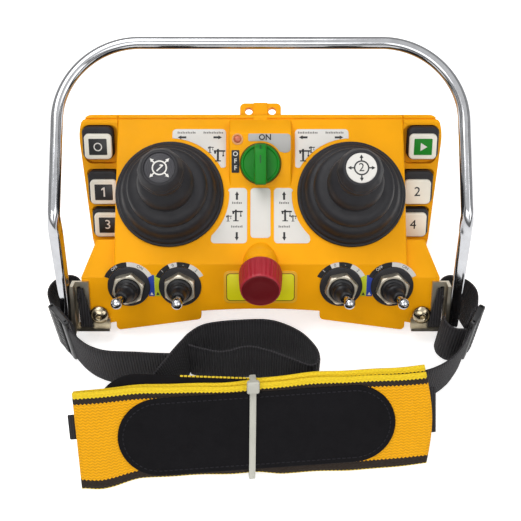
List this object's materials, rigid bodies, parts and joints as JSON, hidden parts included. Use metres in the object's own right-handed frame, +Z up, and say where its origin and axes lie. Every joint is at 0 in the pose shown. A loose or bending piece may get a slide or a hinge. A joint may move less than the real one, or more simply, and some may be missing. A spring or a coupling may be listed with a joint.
{
  "type": "wireless crane remote control",
  "caption": "belly-worn radio transmitter for a crane, with two joysticks, side keys, toggles, emergency stop, guard handle and strap with neck pad",
  "frame": {"origin": "centre of the base face, on the surface that it stands on", "axes": "X to the operator's right, Y away from the operator, Z up"},
  "size_m": [0.2627, 0.2307, 0.1356],
  "materials": {
    "housing_yellow": "fine moulded texture",
    "base_yellow": "fine moulded texture",
    "black_rubber": "matt",
    "black_plastic": "satin",
    "chrome": "polished",
    "steel": "plated",
    "green_plastic": "gloss",
    "red_plastic": "satin",
    "cream_plastic": "satin",
    "label_white": "printed film",
    "plate_yellow": "printed film",
    "lamp_amber": "moulded lens",
    "webbing_black": "woven",
    "webbing_yellow": "woven",
    "patch_black": "stitched",
    "nylon": "moulded",
    "board_green": "laminate",
    "battery_case": "shrink sleeve"
  },
  "bodies": {
    "root": {"top_housing": "housing_yellow", "bottom_housing": "base_yellow", "housing_gasket": "black_rubber", "housing_screws": "steel", "battery_cover": "base_yellow", "battery_pack": "battery_case", "main_board": "board_green", "radio_module": "steel", "left_joystick_base": "black_plastic", "right_joystick_base": "black_plastic", "left_boot": "black_rubber", "right_boot": "black_rubber", "rotary_switch_body": "black_plastic", "status_led": "lamp_amber", "estop_body": "black_plastic", "estop_plate": "plate_yellow", "panel_labels": "label_white", "toggle_bodies": "black_plastic", "toggle_washers": "black_plastic", "toggle_nuts": "steel", "key_switches": "black_plastic", "guard_handle": "chrome", "left_bracket": "chrome", "right_bracket": "chrome", "bracket_screws": "chrome", "left_buckle": "black_plastic", "right_buckle": "black_plastic", "left_strap": "webbing_black", "right_strap": "webbing_black", "strap_loop": "webbing_black", "pad_front": "webbing_yellow", "pad_back": "webbing_yellow", "pad_patches": "patch_black", "cable_tie": "nylon"},
    "left_gimbal": {"left_gimbal": "steel"},
    "left_stick": {"left_stick": "steel", "left_knob": "black_rubber"},
    "right_gimbal": {"right_gimbal": "steel"},
    "right_stick": {"right_stick": "steel", "right_knob": "black_rubber"},
    "rotary_knob": {"rotary_knob": "green_plastic"},
    "estop_plunger": {"estop_plunger": "steel"},
    "estop_knob": {"estop_knob": "red_plastic"},
    "left_key_1": {"left_key_1": "black_rubber", "left_key_1_cap": "cream_plastic"},
    "left_key_2": {"left_key_2": "black_rubber", "left_key_2_cap": "cream_plastic"},
    "left_key_3": {"left_key_3": "black_rubber", "left_key_3_cap": "cream_plastic"},
    "right_key_1": {"right_key_1": "black_rubber", "right_key_1_cap": "cream_plastic"},
    "right_key_2": {"right_key_2": "black_rubber", "right_key_2_cap": "cream_plastic"},
    "right_key_3": {"right_key_3": "black_rubber", "right_key_3_cap": "cream_plastic"},
    "toggle_lever_1": {"toggle_lever_1": "black_rubber"},
    "toggle_lever_2": {"toggle_lever_2": "black_rubber"},
    "toggle_lever_3": {"toggle_lever_3": "black_rubber"},
    "toggle_lever_4": {"toggle_lever_4": "black_rubber"}
  },
  "joints": [
    {"name": "left_stick_forward", "type": "hinge", "parent": "root", "child": "left_gimbal", "pos_m": [-0.0563, 0.01207, 0.05113], "axis": [1, 0, 0], "range_deg": [-20, 20], "stiffness_Nm_per_rad": 0.15, "deforming": ["left_boot"]},
    {"name": "left_stick_sideways", "type": "hinge", "parent": "left_gimbal", "child": "left_stick", "pos_m": [-0.0563, 0.01207, 0.05113], "axis": [0, 0.9063, 0.4226], "range_deg": [-20, 20], "stiffness_Nm_per_rad": 0.15, "deforming": ["left_boot"]},
    {"name": "right_stick_forward", "type": "hinge", "parent": "root", "child": "right_gimbal", "pos_m": [0.0563, 0.01207, 0.05113], "axis": [1, 0, 0], "range_deg": [-20, 20], "stiffness_Nm_per_rad": 0.15, "deforming": ["right_boot"]},
    {"name": "right_stick_sideways", "type": "hinge", "parent": "right_gimbal", "child": "right_stick", "pos_m": [0.0563, 0.01207, 0.05113], "axis": [0, 0.9063, 0.4226], "range_deg": [-20, 20], "stiffness_Nm_per_rad": 0.15, "deforming": ["right_boot"]},
    {"name": "rotary_turn", "type": "hinge", "parent": "root", "child": "rotary_knob", "pos_m": [0, 0.022, 0.07356], "axis": [0, -0.6691, 0.7431], "range_deg": [0, 90]},
    {"name": "estop_press", "type": "slide", "parent": "root", "child": "estop_plunger", "axis": [0, 0.9563, -0.2924], "range_m": [0, 0.0035], "stiffness_N_per_m": 400, "springref_m": -0.003},
    {"name": "estop_twist", "type": "hinge", "parent": "estop_plunger", "child": "estop_knob", "pos_m": [0, -0.0329, 0.0434], "axis": [0, -0.9563, 0.2924], "range_deg": [-30, 0], "stiffness_Nm_per_rad": 0.03, "springref_deg": 11.46},
    {"name": "left_key_1_press", "type": "slide", "parent": "root", "child": "left_key_1", "axis": [0, 0.8192, -0.5736], "range_m": [0, 0.0015], "stiffness_N_per_m": 300, "springref_m": -0.002},
    {"name": "left_key_2_press", "type": "slide", "parent": "root", "child": "left_key_2", "axis": [0, 0.8192, -0.5736], "range_m": [0, 0.0015], "stiffness_N_per_m": 300, "springref_m": -0.002},
    {"name": "left_key_3_press", "type": "slide", "parent": "root", "child": "left_key_3", "axis": [0, 0.8192, -0.5736], "range_m": [0, 0.0015], "stiffness_N_per_m": 300, "springref_m": -0.002},
    {"name": "right_key_1_press", "type": "slide", "parent": "root", "child": "right_key_1", "axis": [0, 0.8192, -0.5736], "range_m": [0, 0.0015], "stiffness_N_per_m": 300, "springref_m": -0.002},
    {"name": "right_key_2_press", "type": "slide", "parent": "root", "child": "right_key_2", "axis": [0, 0.8192, -0.5736], "range_m": [0, 0.0015], "stiffness_N_per_m": 300, "springref_m": -0.002},
    {"name": "right_key_3_press", "type": "slide", "parent": "root", "child": "right_key_3", "axis": [0, 0.8192, -0.5736], "range_m": [0, 0.0015], "stiffness_N_per_m": 300, "springref_m": -0.002},
    {"name": "toggle_1_throw", "type": "hinge", "parent": "root", "child": "toggle_lever_1", "pos_m": [-0.0813, -0.04464, 0.03329], "axis": [0, 0.5299, 0.848], "range_deg": [0, 24]},
    {"name": "toggle_2_throw", "type": "hinge", "parent": "root", "child": "toggle_lever_2", "pos_m": [-0.0497, -0.04464, 0.03329], "axis": [0, 0.5299, 0.848], "range_deg": [-12, 12]},
    {"name": "toggle_3_throw", "type": "hinge", "parent": "root", "child": "toggle_lever_3", "pos_m": [0.0497, -0.04464, 0.03329], "axis": [0, 0.5299, 0.848], "range_deg": [-18, 0]},
    {"name": "toggle_4_throw", "type": "hinge", "parent": "root", "child": "toggle_lever_4", "pos_m": [0.0813, -0.04464, 0.03329], "axis": [0, 0.5299, 0.848], "range_deg": [-20, 0]}
  ]
}
